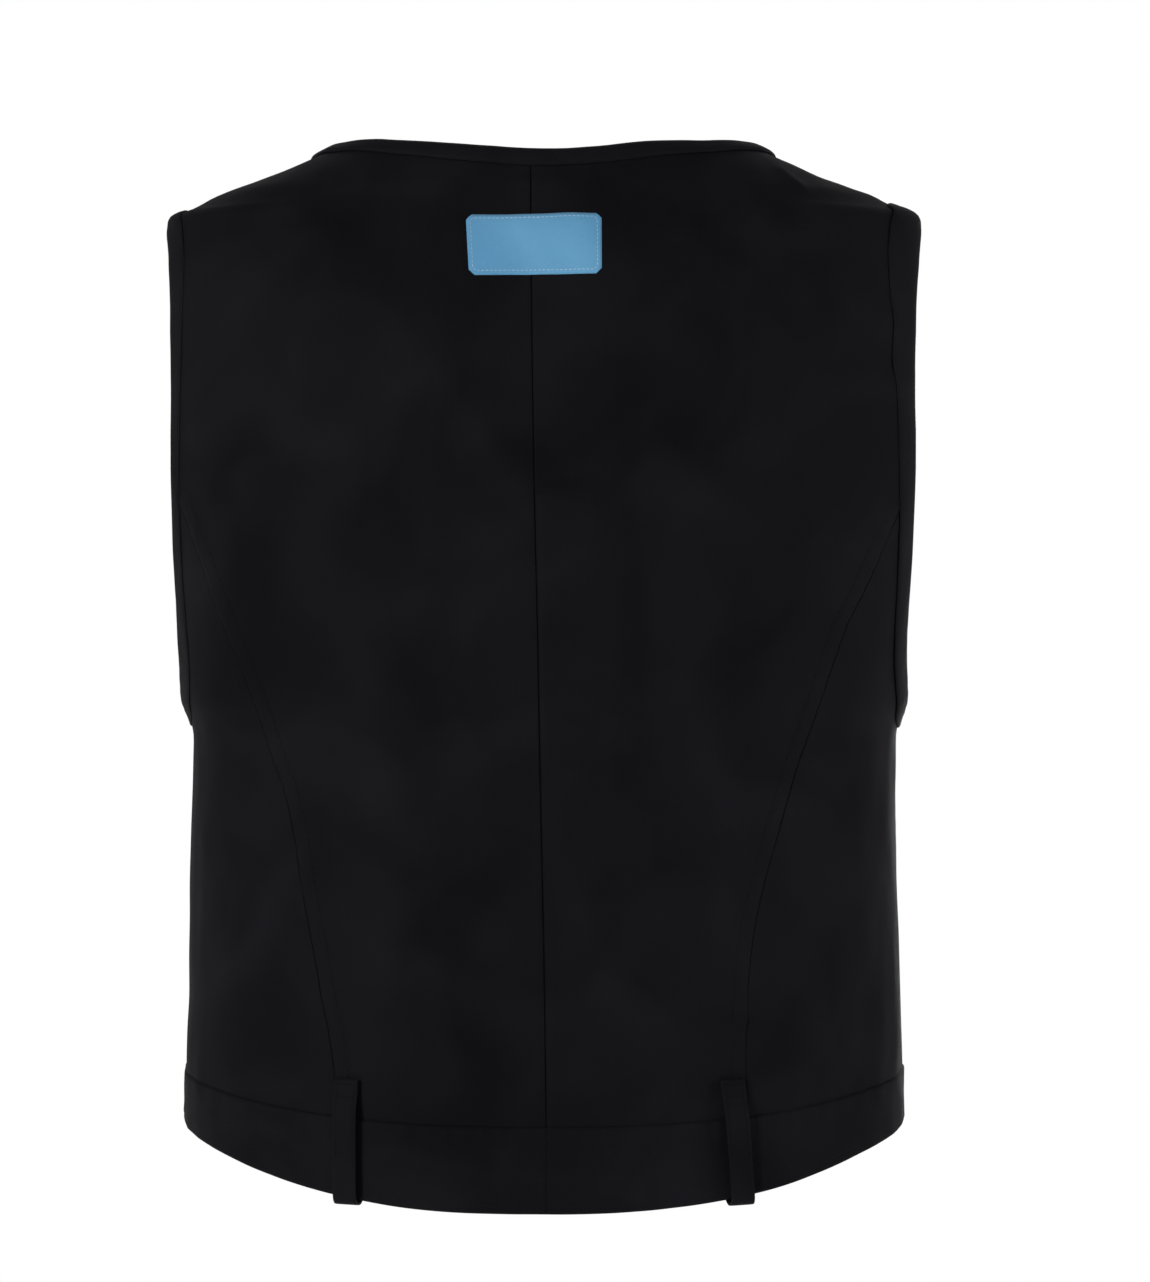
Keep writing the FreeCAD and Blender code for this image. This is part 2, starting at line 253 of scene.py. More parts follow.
def neckCut(point, grow=0.0):
    hole = edges["neck"]
    wide, deep = hole["halfWidth"] + grow, hole["backDepth"] + grow
    if point.y >= 0:
        return wide - abs(point.x)
    return wide * (1 - (abs(point.x / wide) ** hole["square"] + abs(point.y / deep) ** hole["square"])
                   ** (1 / hole["square"]))


def armholeSizes(grow, spread=1.0, side=1):
    hole = edges["armhole"]
    top, bottom = hole["top"] + grow * hole["rise"][side], hole["bottom"] - grow * hole["drop"]
    square = hole["square"] + hole["squarer"] * max(grow, 0.0)
    return hole["back"] + grow * spread, hole["front"] + grow, (top + bottom) / 2, (top - bottom) / 2, square


def armholeCut(point, grow=0.0):
    if abs(point.x) < edges["armhole"]["reach"]:
        return -1.0
    back, front, middle, half, square = armholeSizes(grow)
    deep = back if point.y < 0 else front
    away = (abs(point.y / deep) ** square + abs((point.z - middle) / half) ** square) ** (1 / square)
    return deep * (1 - away)


def hemHeight(y, line="hem"):  # the hem's edge, or the seam that its turned-up cloth is sewn along
    look, back = edges[line], min(y, 0.0)
    lift = look["lift"] * math.sin(math.pi * min((back / edges["hemDepth"]) ** 2, 1.0))
    return look["side"] - look["radius"] + math.sqrt(look["radius"] ** 2 - back ** 2) + lift


def hemCut(point, grow=0.0, line="hem"):
    return hemHeight(point.y, line) + grow - point.z


def seamCut(point, keep):  # keep is back or front; the armhole parts the shoulder seam from the side seam
    seam = edges["shoulderSeam"] if point.z > (edges["armhole"]["top"] + edges["armhole"]["bottom"]) / 2 else 0.0
    return point.y - seam if keep == "back" else seam - point.y


def arcThrough(first, second, third):
    (ax, ay), (bx, by), (cx, cy) = first, second, third
    twice = 2 * (ax * (by - cy) + bx * (cy - ay) + cx * (ay - by))
    a, b, c = ax * ax + ay * ay, bx * bx + by * by, cx * cx + cy * cy
    centre = ((a * (by - cy) + b * (cy - ay) + c * (ay - by)) / twice,
              (a * (cx - bx) + b * (ax - cx) + c * (bx - ax)) / twice)
    return centre, math.dist(centre, first)


(topX, topZ), (lowX, lowZ) = edges["frontEdge"]["top"], edges["frontEdge"]["low"]
(arcX, arcZ), arcRadius = arcThrough((topX, topZ), edges["frontEdge"]["middle"], (lowX, lowZ))


def frontCut(point, side, grow=0.0):  # side is 1 for the right front
    x = point.x * side
    if point.z > topZ:
        return topX + grow - x
    if point.z < lowZ:
        return lowX + grow - x
    return arcRadius + grow - math.hypot(x - arcX, point.z - arcZ)


# folds: where the cloth stands off the form

folds = {
    # from, to, half width of the fold, height; (x, z) on the back
    "back": [
        ((-0.050, -0.128), (0.000, -0.196), 0.0110, 0.0028),
        ((-0.104, -0.185), (-0.078, -0.262), 0.030, 0.0024),
        ((-0.155, -0.181), (-0.108, -0.225), 0.013, 0.0020),
        ((-0.155, -0.240), (-0.085, -0.285), 0.024, 0.0024),
        ((-0.078, -0.325), (-0.080, -0.430), 0.012, 0.0024),
        ((-0.060, -0.425), (-0.022, -0.398), 0.011, -0.0028),
        ((-0.066, -0.404), (-0.018, -0.369), 0.009, 0.0020),
        ((-0.118, -0.386), (-0.113, -0.440), 0.012, 0.0020),
        ((-0.094, -0.440), (-0.048, -0.463), 0.009, 0.0022),
        ((0.020, -0.440), (0.057, -0.429), 0.0085, 0.0022),
        ((0.012, -0.400), (0.080, -0.404), 0.014, 0.0022),
        ((0.000, -0.190), (0.004, -0.235), 0.020, 0.0018),
        ((0.000, -0.290), (0.010, -0.326), 0.012, 0.0020),
        ((0.054, -0.355), (0.068, -0.405), 0.008, 0.0018),
        ((0.018, -0.050), (0.060, -0.095), 0.026, 0.0022),
        ((0.038, -0.130), (0.075, -0.180), 0.020, 0.0020),
        ((0.122, -0.144), (0.136, -0.211), 0.014, 0.0022),
        ((0.136, -0.0625), (0.182, -0.1205), 0.008, -0.0021),
        ((0.140, -0.053), (0.176, -0.099), 0.009, 0.0019),
        ((0.1235, -0.0190), (0.1355, -0.0300), 0.0026, 0.0014),
        ((0.089, -0.056), (0.115, -0.075), 0.012, -0.0028),
        ((-0.096, -0.050), (-0.084, -0.036), 0.0060, -0.0015),
        ((-0.162, -0.032), (-0.112, -0.005), 0.012, -0.0003),
        ((-0.189, -0.320), (-0.187, -0.450), 0.022, -0.0013),
        ((-0.128, -0.100), (-0.108, -0.160), 0.018, 0.0018),
        ((0.103, -0.455), (0.123, -0.440), 0.006, 0.0020),
        ((0.062, -0.270), (0.088, -0.330), 0.018, 0.0020),
        ((0.110, -0.330), (0.128, -0.400), 0.018, 0.0018),
        ((0.018, -0.360), (0.022, -0.395), 0.010, 0.0018),
    ],
    # the same on the front
    "front": [
        ((0.130, -0.090), (0.080, -0.200), 0.022, 0.0024),
        ((-0.130, -0.090), (-0.080, -0.200), 0.022, 0.0020),
        ((0.150, -0.300), (0.060, -0.380), 0.026, -0.0024),
        ((-0.150, -0.290), (-0.070, -0.370), 0.026, -0.0022),
        ((0.040, -0.300), (0.060, -0.450), 0.018, 0.0018),
        ((-0.100, -0.400), (-0.110, -0.490), 0.018, 0.0018),
        ((0.110, -0.420), (0.120, -0.500), 0.016, -0.0018),
        ((-0.189, -0.320), (-0.187, -0.450), 0.022, -0.0013),
    ],
    "turn": (-0.030, 0.020),  # from the back's folds to the front's
    "far": 2.6,  # half widths away, where a fold is over
    "driftAndPaintedShade": 0.0016,  # slow unevenness of the cloth all over
    "driftSize": 0.050,
    "creaseDepth": 0.00042,
    "creaseSize": 0.013,
}

seams = {
    "groove": 0.0009,
    "grooveWidth": 0.0008,
    "pucker": 0.00022,
    "puckerLength": 0.0085,
    "puckerWidth": 0.010,
    # share of the groove's depth; a princess seam is faint near the armhole and plainer low down
    "depth": {"centre": 0.9, "side": 0.8, "hem": 0.4, "shoulder": 0.6, "princess": (0.08, 0.24)},
    "plainer": (0.24, 0.40),
    "slant": 0.9,  # distance from a princess seam, against the step across
    "behind": 0.02,  # the back's seams lie behind this depth
    "princessTop": -0.19,
    "sideTop": -0.30,
    "hemTop": -0.47,
    "shoulderFoot": (0.10, -0.08),
}


def fromSegment(x, z, start, stop):
    dx, dz = stop[0] - start[0], stop[1] - start[1]
    along = max(0.0, min(1.0, ((x - start[0]) * dx + (z - start[1]) * dz) / (dx * dx + dz * dz)))
    return math.hypot(x - start[0] - dx * along, z - start[1] - dz * along)


def ease(value, low, high):
    t = max(0.0, min(1.0, (value - low) / (high - low)))
    return t * t * (3 - 2 * t)


def foldAt(point):
    total = 0.0
    behind = 1 - ease(point.y, *folds["turn"])
    for share, group in ((behind, "back"), (1 - behind, "front")):
        if share > 0.001:
            for start, stop, width, height in folds[group]:
                away = fromSegment(point.x, point.z, start, stop) / width
                if away < folds["far"]:
                    total += share * height * math.exp(-away * away)
    slow = noise.noise(Vector((point.x, point.y, point.z * 0.6)) / folds["driftSize"])
    fine = noise.noise(Vector((point.x + 3, point.y, point.z * 0.45)) / folds["creaseSize"])
    return total + slow * folds["driftAndPaintedShade"] + fine * folds["creaseDepth"]


def seamLines(point):  # the seams that pucker the cloth: distance from each, how far along it, and how deep it is
    lines, depth = [], seams["depth"]
    if point.y < seams["behind"]:
        lines.append((point.x - centreSeam.at(point.z)[0], point.z, depth["centre"]))
        if point.z < seams["princessTop"]:
            faint = depth["princess"][0] + depth["princess"][1] * ease(-point.z, *seams["plainer"])
            for side in (1, -1):
                lines.append(((point.x - princess[side].at(point.z)[0]) * seams["slant"], point.z, faint))
    if point.z < seams["sideTop"]:
        lines.append((point.y, point.z, depth["side"]))
    if point.z < seams["hemTop"]:
        lines.append((point.z - hemHeight(point.y, "hemSeam"), point.x, depth["hem"]))
    if abs(point.x) > seams["shoulderFoot"][0] and point.z > seams["shoulderFoot"][1]:
        lines.append((point.y - edges["shoulderSeam"], point.x, depth["shoulder"]))
    return lines


def allowanceAt(point):
    if point.y > seams["behind"] or point.z > seams["princessTop"]:
        return 0.0
    side, turned = (1 if point.x > 0 else -1), edges["allowance"]
    inside = (princess[side].at(point.z)[0] - point.x) * side
    start, stop = (turned["width"] + step for step in turned["fall"])
    return turned["rise"] * ease(inside, 0.0, turned["ramp"]) * (1 - ease(inside, start, stop))


def seamAt(point):
    total = allowanceAt(point)
    for away, along, depth in seamLines(point):
        if abs(away) < 3 * seams["puckerWidth"]:
            total -= depth * seams["groove"] * (1 - ease(abs(away), 0.0, seams["grooveWidth"]))
            wave = math.sin(along / seams["puckerLength"] * 2 * math.pi + 2.0 * math.sin(along * 61.0))
            total += seams["pucker"] * wave * math.exp(-(away / seams["puckerWidth"]) ** 2)
    return total


def liftAt(point, lapped, lift, sewn=False):  # the place at this height above the form, with the folds
    stand = lift + foldAt(point) + (seamAt(point) if sewn else 0.0)
    return point + wayOut(point, lapped) * stand


# making pieces

pieces = {}


def gridMesh(columns, rows):
    mesh = bmesh.new()
    bmesh.ops.create_grid(mesh, x_segments=columns, y_segments=rows, size=0.5)
    return mesh


def mapCloth(mesh, spotOf):  # the cloth's own map, in metres
    layer = mesh.loops.layers.uv.new("cloth")
    for face in mesh.faces:
        for loop in face.loops:
            loop[layer].uv = spotOf(loop.vert)


def planeCut(mesh, place, way, outer, inner=False):
    geometry = mesh.verts[:] + mesh.edges[:] + mesh.faces[:]
    bmesh.ops.bisect_plane(mesh, geom=geometry, plane_co=place, plane_no=way, clear_outer=outer, clear_inner=inner)


def scoreAt(mesh, distance):  # puts a line of edges into the flat cloth along distance 0
    cut = []
    values = {vert: distance(vert) for vert in mesh.verts}
    for edge in list(mesh.edges):
        first, second = edge.verts
        a, b = values[first], values[second]
        if (a > 0) != (b > 0):
            share = a / (a - b)
            if share < 0.02:
                cut.append(first)
            elif share > 0.98:
                cut.append(second)
            else:
                cut.append(bmesh.utils.edge_split(edge, first, share)[1])
    bmesh.ops.connect_verts(mesh, verts=list(dict.fromkeys(cut)))


def splitAt(mesh, distance):  # cuts the flat cloth along distance 0 and drops what is above it
    scoreAt(mesh, distance)
    gone = []
    for face in mesh.faces:
        middle = sum(distance(vert) for vert in face.verts) / len(face.verts)
        if middle > 0:
            gone.append(face)
    bmesh.ops.delete(mesh, geom=gone, context="FACES")


def finishMesh(mesh, name, material, smooth=True):
    data = bpy.data.meshes.new(name)
    mesh.normal_update()
    mesh.to_mesh(data)
    piece = bpy.data.objects.new(name, data)
    bpy.context.scene.collection.objects.link(piece)
    data.materials.append(material)
    for face in data.polygons:
        face.use_smooth = smooth
    pieces[name] = piece
    return piece


def thicken(piece, thickness):
    modifier = piece.modifiers.new("thickness", "SOLIDIFY")
    modifier.thickness = thickness
    modifier.offset = -1.0
    modifier.use_even_offset = False


def isLapped(body, share):
    return share > 0 if body == "back" else body == "front_right"


blends = {
    "split": -0.300,  # the fronts are cut in two at this height; the real cloth bends at the shoulder above it and at the side seam below it
    "shoulder": (-0.045, -0.290),
    "sideSeam": (0.0, 0.040),
}


def bendWithFront(piece, part):
    part == "Upper"
    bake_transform(piece)


def declareCloth(mesh, cloth):  # cloth says how the piece is held, and what it lies on
    layer = mesh.loops.layers.uv["cloth"]
    area = sum(face.calc_area() for face in mesh.faces)
    spots = [loop[layer].uv for face in mesh.faces for loop in face.loops]
    across, along = (max(spot[axis] for spot in spots) - min(spot[axis] for spot in spots) for axis in (0, 1))
    if cloth["held"] == "folded":  # a strip, folded along its middle
        area / across
        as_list(cloth["on"])
    else:
        max(along, area / across)
        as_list(cloth["on"])


def rideFront(mesh, name, material, thickness, cloth):  # two pieces, cut apart at the height between the two places where the real cloth bends
    made = []
    for part, outer in (("Upper", False), ("Lower", True)):
        half = mesh.copy()
        planeCut(half, (0, 0, blends["split"]), (0, 0, 1), outer, not outer)
        if half.faces:
            piece = finishMesh(half, name + part, material)
            thicken(piece, thickness)
            bendWithFront(piece, part)
            declareCloth(half, cloth)
            made.append(piece)
        half.free()
    return made


def declare(made, name, slot):  # a piece stands for the solid of the same name
    node = "".join("_" + letter.lower() if letter.isupper() else letter for letter in name)
    for piece in made:
        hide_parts(node)


def rideBody(mesh, name, body, material, thickness, slot, cloth):
    if body == "back":
        piece = finishMesh(mesh, name, material)
        thicken(piece, thickness)
        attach(piece, body)
        declareCloth(mesh, cloth)
        made = [piece]
    else:
        made = rideFront(mesh, name, material, thickness, cloth)
    mesh.free()
    declare(made, name, slot)


girth = 0.26  # metres of cloth for one share of the way round


def clothSheet(name, body, shares, heights, look, cuts, cloth, sewn=False, scores=()):
    low, high = runAtHeight(heights[0]), runAtHeight(heights[1])
    mesh = gridMesh(max(2, round((shares[1] - shares[0]) * girth / look["step"])),
                    max(2, round((high - low) / look["step"])))
    for vert in mesh.verts:
        vert.co.x = shares[0] + (shares[1] - shares[0]) * (vert.co.x + 0.5)
        vert.co.y = low + (high - low) * (vert.co.y + 0.5)

    def placeOf(vert):
        return sectionPoint(vert.co.x, heightAtRun(vert.co.y), isLapped(body, vert.co.x))

    for cut in cuts:
        splitAt(mesh, lambda vert: cut(placeOf(vert)))
    for cut, away in scores:  # away from a cut, inside the piece
        scoreAt(mesh, lambda vert: cut(placeOf(vert)) + away)
    mapCloth(mesh, lambda vert: (vert.co.x * girth, vert.co.y))
    for vert in mesh.verts:
        vert.co = liftAt(placeOf(vert), isLapped(body, vert.co.x), look["lift"], sewn)
    rideBody(mesh, name, body, finishes[look["finish"]], look["thickness"], look["slot"], cloth)


# folded bands: a U of cloth over an edge

seamGap = 0.00015  # half of the gap in the shoulder seam
bands = {
    "neck": {"width": 0.0098, "stand": 0.0012, "crown": 0.00035, "inside": -0.0058},
    "armhole": {"width": 0.0143, "stand": 0.0007, "crown": 0.00040, "inside": -0.0058},
    "frontEdge": {"width": 0.0130, "stand": 0.0012, "crown": 0.00035, "inside": -0.0064},
    "hem": {"width": 0.0, "stand": 0.00035, "crown": 0.0, "inside": -0.0056},  # the hem's own seam gives its width
    # the armhole bands on the back, against their width: the right one, and the left one from the side seam up
    "spread": {"right": 1.03, "leftLow": 1.0, "narrower": 0.42, "from": 0.20, "to": 0.60},
    "thickness": 0.0006,
    "rowSpace": 0.002,  # between rows, in the cloth's own map
    "turn": 0.0015,  # nearer the edge than this, a band is turning over it
    "step": {"neck": 0.004, "armhole": 0.004, "frontEdge": 0.005, "hem": 0.0008},
    "crease": 0.00022,
    "creaseSize": 0.014,
}


def bandProfile(width, stand, crown, deep):  # distance in from the edge and height above the form, from row to row
    rows = [(width, stand * 0.15), (width - 0.0001, stand * 0.55), (width - 0.0006, stand * 0.95),
            (width - 0.0012, stand + crown * 0.4)]
    for share in (0.84, 0.70, 0.56, 0.42, 0.28):
        rows.append((width * share, stand + crown * min(1.0, 4.6 * share * (1 - share))))
    return rows + [(0.0020, stand), (0.0007, stand * 0.5 - 0.0001), (0.0001, -0.0009), (0.0, -0.0023),
                   (0.0001, -0.0042), (0.0007, -0.0053), (0.0020, deep), (width * 0.5, deep),
                   (width - 0.0006, deep * 0.97), (width, deep * 0.84)]


def foldedBand(name, body, kind, edgePoint, length, lappedAt):
    look, rows = bands[kind], len(bandProfile(0, 0, 0, 0))
    mesh = gridMesh(max(4, round(length / bands["step"][kind])), rows - 1)
    flat = {}
    for vert in mesh.verts:
        along = vert.co.x + 0.5
        row = round((vert.co.y + 0.5) * (rows - 1))
        width = look["width"]
        if kind == "hem":
            edge = edgePoint(along, 0.0)
            width = hemHeight(edge.y, "hemSeam") - edge.z
        grow, lift = bandProfile(width, look["stand"], look["crown"], look["inside"])[row]
        point = edgePoint(along, grow)
        stand = lift + foldAt(point)
        if lift > 0:
            crease = noise.noise(Vector((along * length + 0.1, grow * 1.5, 0.02)) / bands["creaseSize"])
            stand += crease * bands["crease"] + (seamAt(point) if kind == "hem" else 0.0)
        flat[vert] = (along * length, row * bands["rowSpace"])
        vert.co = point + wayOut(point, lappedAt(point)) * stand
    mapCloth(mesh, lambda vert: flat[vert])
    lining = "back_lining" if body == "back" else body.replace("front", "front_lining")
    rideBody(mesh, name, body, finishes["shell" if kind == "hem" else "band"], bands["thickness"], "binding_cloth",
             {"held": "folded", "on": [lining]})


def neckEdge(along, grow):  # grow is measured on the cloth, which falls steeply at the middle of the back
    if grow < bands["turn"]:
        return neckSpot(along, grow * 0.5)
    edge = neckSpot(along, 0.0)
    low, high = halving(0.0, grow, 7, lambda middle: (neckSpot(along, middle) - edge).length > grow)
    return neckSpot(along, (low + high) / 2)


def neckSpot(along, grow):  # from the right shoulder seam round the back to the left one
    hole = edges["neck"]
    wide, deep, seam = hole["halfWidth"] + grow, hole["backDepth"] + grow, edges["shoulderSeam"] - seamGap
    straight = hole["straight"]
    if along < straight or along > 1 - straight:
        share = min(along, 1 - along) / straight
        x, y = (wide if along < 0.5 else -wide), seam * (1 - share)
    else:
        turn = math.pi * (along - straight) / (1 - 2 * straight)
        x, y = wide * cornered(math.cos(turn), hole["square"]), -deep * cornered(math.sin(turn), hole["square"])
    return Vector((x, y, zOver(x, y, x > 0)))


def armholeEdge(side, body):
    def point(along, grow):
        seam = edges["shoulderSeam"]
        shape = bands["spread"]
        narrower = shape["narrower"] * ease(along, shape["from"], shape["to"])
        spread = shape["right"] if side > 0 else shape["leftLow"] - narrower
        back, front, middle, half, square = armholeSizes(grow, spread, side)
        topTurn = math.acos((seam / front) ** (square / 2))
        # from the side seam up the back and over to the shoulder seam, or up the front to it
        turn = -math.pi / 2 + along * (topTurn - 1.5 * math.pi if body == "back" else topTurn + math.pi / 2)
        u, v = cornered(math.cos(turn), square), cornered(math.sin(turn), square)
        y, z = u * (front if u > 0 else back), middle + v * half
        y = min(y, seam - seamGap) if body == "back" and z > middle else y
        lapped = side > 0 and (body != "back" or y > 0)
        return Vector((side * xOver(y, z, lapped), y, z))
    return point


def hemEdge(start, stop, body):
    def point(along, grow):
        share = start + (stop - start) * along
        height = edges["hem"]["side"]
        for _ in range(4):
            place = sectionPoint(share, height, isLapped(body, share))
            height = hemHeight(place.y) + grow
        return sectionPoint(share, height, isLapped(body, share))
    return point


def frontEdgePath(side):
    lapped = side > 0
    startTurn, stopTurn = math.atan2(topZ - arcZ, topX - arcX), math.atan2(lowZ - arcZ, lowX - arcX)
    seam = edges["shoulderSeam"] + seamGap
    straight, curved = edges["frontEdge"]["straight"], edges["frontEdge"]["curved"]

    def point(along, grow):
        seamZ = zOver(topX + grow, seam, lapped)
        if along < straight:
            x, z = topX + grow, seamZ + (topZ - seamZ) * along / straight
        elif along < straight + curved:
            turn = startTurn + (stopTurn - startTurn) * (along - straight) / curved
            x, z = arcX + (arcRadius + grow) * math.cos(turn), arcZ + (arcRadius + grow) * math.sin(turn)
            x = max(x, lowX + grow)
        else:
            start = arcZ + (arcRadius + grow) * math.sin(stopTurn)
            low = (along - straight - curved) / (1 - straight - curved)
            x, z = lowX + grow, start + (edges["hem"]["side"] - start) * low
        return Vector((x * side, yOver(x * side, z, lapped), z))
    return point


# finishes

class Wire:  # a socket's output that can be added, multiplied and so on
    def __init__(self, paint, socket):
        self.paint, self.socket = paint, socket

    def maths(self, operation, other, swapped=False):
        first, second = (other, self) if swapped else (self, other)
        return self.paint.wire("ShaderNodeMath", {"operation": operation}, {0: first, 1: second})

    def __add__(self, other):
        return self.maths("ADD", other)

    def __radd__(self, other):
        return self.maths("ADD", other, True)

    def __sub__(self, other):
        return self.maths("SUBTRACT", other)

    def __rsub__(self, other):
        return self.maths("SUBTRACT", other, True)

    def __mul__(self, other):
        return self.maths("MULTIPLY", other)

    def __rmul__(self, other):
        return self.maths("MULTIPLY", other, True)


class Paint:  # builds one material's nodes
    def __init__(self, name):
        self.material = bpy.data.materials.new(name)
        self.material.use_nodes = True
        self.tree = self.material.node_tree
        self.shader = self.tree.nodes["Principled BSDF"]

    def node(self, kind, settings=None, values=None):
        node = self.tree.nodes.new(kind)
        for key, value in (settings or {}).items():
            setattr(node, key, value)
        for key, value in (values or {}).items():
            if isinstance(value, Wire):
                self.tree.links.new(value.socket, node.inputs[key])
            else:
                node.inputs[key].default_value = value
        return node

    def wire(self, kind, settings=None, values=None, output=0):
        return Wire(self, self.node(kind, settings, values).outputs[output])

    def mixColour(self, share, first, second):
        return self.wire("ShaderNodeMix", {"data_type": "RGBA"}, {0: share, 6: first, 7: second}, 2)

    def set(self, **values):
        for key, value in values.items():
            socket = self.shader.inputs[key.replace("_", " ")]
            if isinstance(value, Wire):
                self.tree.links.new(value.socket, socket)
            else:
                socket.default_value = value

    def bump(self, height, strength, distance):
        return self.wire("ShaderNodeBump", {}, {"Height": height, "Strength": strength, "Distance": distance})


# drift: size of slow lighter and darker patches painted into the colour, painted shade and painted sheen of creases;
# the last of shares is their weight
weaving = {"waves": 0.314, "bend": 1.6, "slub": 420.0, "driftAndPaintedShade": 15.0, "shares": (0.22, 0.26, 1.90), "less": 0.69,
           "height": 0.00025, "tint": (0.9, 0.92, 1.0, 1)}


def wovenCloth(name, dark, light, yarn, relief, rough, shine, sheen):
    paint = Paint(name)
    place = paint.wire("ShaderNodeTexCoord", {}, {}, 2)  # the cloth's own map, in metres
    spot = paint.wire("ShaderNodeTexCoord", {}, {}, 3)
    yarns = []
    for direction in ("X", "Y"):
        yarns.append(paint.wire("ShaderNodeTexWave", {"wave_type": "BANDS", "bands_direction": direction},
                                {"Vector": place, "Scale": weaving["waves"] / yarn, "Distortion": weaving["bend"],
                                 "Detail": 1.0, "Detail Scale": 2.0}, 1))
    slub = paint.wire("ShaderNodeTexNoise", {}, {"Vector": spot, "Scale": weaving["slub"], "Detail": 3.0})
    # painted shade and painted sheen: slow patches in the colour where creases would catch or lose the light
    driftAndPaintedShade = paint.wire("ShaderNodeTexNoise", {}, {"Vector": spot, "Scale": weaving["driftAndPaintedShade"], "Detail": 2.0,
                                                  "Distortion": 0.7})
    weave = yarns[0] * yarns[1]
    fine, coarse, slow = weaving["shares"]
    # the yarns and slub give the cloth's own uneven tone; the slow patches on top are painted shade and painted sheen
    toneAndPaintedShade = weave * fine + slub * coarse + driftAndPaintedShade * slow - weaving["less"]
    colour = paint.mixColour(toneAndPaintedShade, (*dark, 1), (*light, 1))
    normal = paint.bump(weave + slub * 0.6, relief, weaving["height"])
    paint.set(Base_Color=colour, Roughness=rough + slub * 0.10, Normal=normal, Specular_IOR_Level=shine,
              Sheen_Weight=sheen, Sheen_Roughness=0.45, Sheen_Tint=weaving["tint"])
    return paint.material


looks = {
    # dark and light tone, width of a yarn, relief, roughness, shine, sheen
    "shell": ((0.0028, 0.0026, 0.0037), (0.0070, 0.0065, 0.0086), 0.0006, 0.35, 0.66, 0.04, 0.005),
    "band": ((0.0033, 0.0031, 0.0042), (0.0076, 0.0071, 0.0092), 0.0006, 0.35, 0.68, 0.05, 0.006),
    "lining": ((0.0150, 0.0150, 0.0175), (0.0240, 0.0240, 0.0270), 0.0004, 0.20, 0.60, 0.30, 0.03),
    "label": ((0.0800, 0.2450, 0.4200), (0.1250, 0.3350, 0.5250), 0.0007, 0.45, 0.72, 0.25, 0.05),
    "labelThread": ((0.3000, 0.4300, 0.5500), (0.4400, 0.5600, 0.6800), 0.0005, 0.30, 0.60, 0.20, 0.03),
    "thread": ((0.0022, 0.0022, 0.0028), (0.0048, 0.0048, 0.0058), 0.0004, 0.20, 0.66, 0.06, 0.004),
    "tape": ((0.0050, 0.0050, 0.0058), (0.0130, 0.0130, 0.0145), 0.0016, 0.90, 0.92, 0.15, 0.1),
    "foam": ((0.0600, 0.0600, 0.0640), (0.0950, 0.0950, 0.1000), 0.0010, 0.50, 0.90, 0.20, 0.0),
    "shield": ((0.0280, 0.0290, 0.0310), (0.0420, 0.0430, 0.0460), 0.0030, 0.10, 0.55, 0.40, 0.0),
}
finishes = {name: wovenCloth(name + "Finish", *look) for name, look in looks.items()}
print("finishes made")


# the outer cloth

shell = {"lift": 0.0, "thickness": 0.0009, "step": 0.0040, "tuck": 0.0008, "underHem": -0.0040, "finish": "shell",
         "slot": "shell_cloth"}
sheetHeights = (-0.560, 0.020)
sideHeights = (-0.560, -0.180)
frontHeights = (-0.524, 0.010)
# how far round each panel's cloth may reach, before it is cut
reaches = {"back": (-0.10, 1.50), "side": (0.30, 1.05), "front": (0.95, 2.50)}


def reachOf(panel, side):
    return sorted(share * side for share in reaches[panel])


def backCuts(tuck, hem, line):
    return [lambda point: neckCut(point, tuck), lambda point: armholeCut(point, tuck),
            lambda point: hemCut(point, hem, line), lambda point: seamCut(point, "back")]


def frontCuts(side, tuck, hem, line):
    return [lambda point: armholeCut(point, tuck), lambda point: hemCut(point, hem, line),
            lambda point: seamCut(point, "front"), lambda point: frontCut(point, side, tuck)]


def princessCut(side, centre):
    def cut(point):
        away = (point.x - princess[side].at(point.z)[0]) * side
        return away if centre else -away
    return cut


def centreCut(side):
    return lambda point: (centreSeam.at(point.z)[0] - point.x) * side


def hemSeamCut(point):
    return hemCut(point, 0.0, "hemSeam")


hemScores = [(hemSeamCut, seams["grooveWidth"]), (hemSeamCut, 0.0)]
for side, name in sides:
    cuts = backCuts(shell["tuck"], shell["underHem"], "hemSeam")
    cloth = {"held": "hung", "on": ["back_ply_outer"]}
    centre, inner, outer = centreCut(side), princessCut(side, True), princessCut(side, False)
    scores = [(centre, seams["grooveWidth"]), (inner, seams["grooveWidth"])]
    scores += [(inner, edges["allowance"]["width"] + step) for step in edges["allowance"]["fall"]]
    clothSheet("backPanel" + name, "back", reachOf("back", side), sheetHeights, shell, [centre, inner] + cuts, cloth,
               True, scores + hemScores)
    clothSheet("sideBackPanel" + name, "back", reachOf("side", side), sideHeights, shell, [outer] + cuts, cloth,
               True, [(outer, seams["grooveWidth"])] + hemScores)
    clothSheet("frontPanel" + name, "front_" + name.lower(), reachOf("front", side), frontHeights, shell,
               frontCuts(side, shell["tuck"], shell["underHem"], "hemSeam"),
               {"held": "hung", "on": ["front_ply_outer_" + name.lower()]}, True, hemScores)
print("outer cloth made")


# the plies and the lining

ply = {"thickness": 0.0008, "step": 0.0050, "tuck": 0.014, "finish": "shield", "slot": "shield_rubber"}
layers = {
    # under: the layer that this one lies against
    "PlyOuter": {**ply, "lift": -0.0013, "under": "ply_inner"},
    "PlyInner": {**ply, "lift": -0.0024, "under": "lining"},
    "Lining": {"lift": -0.0035, "thickness": 0.0007, "step": 0.0045, "tuck": 0.0012, "finish": "lining",
               "slot": "lining_cloth", "under": "ply_inner"},
}

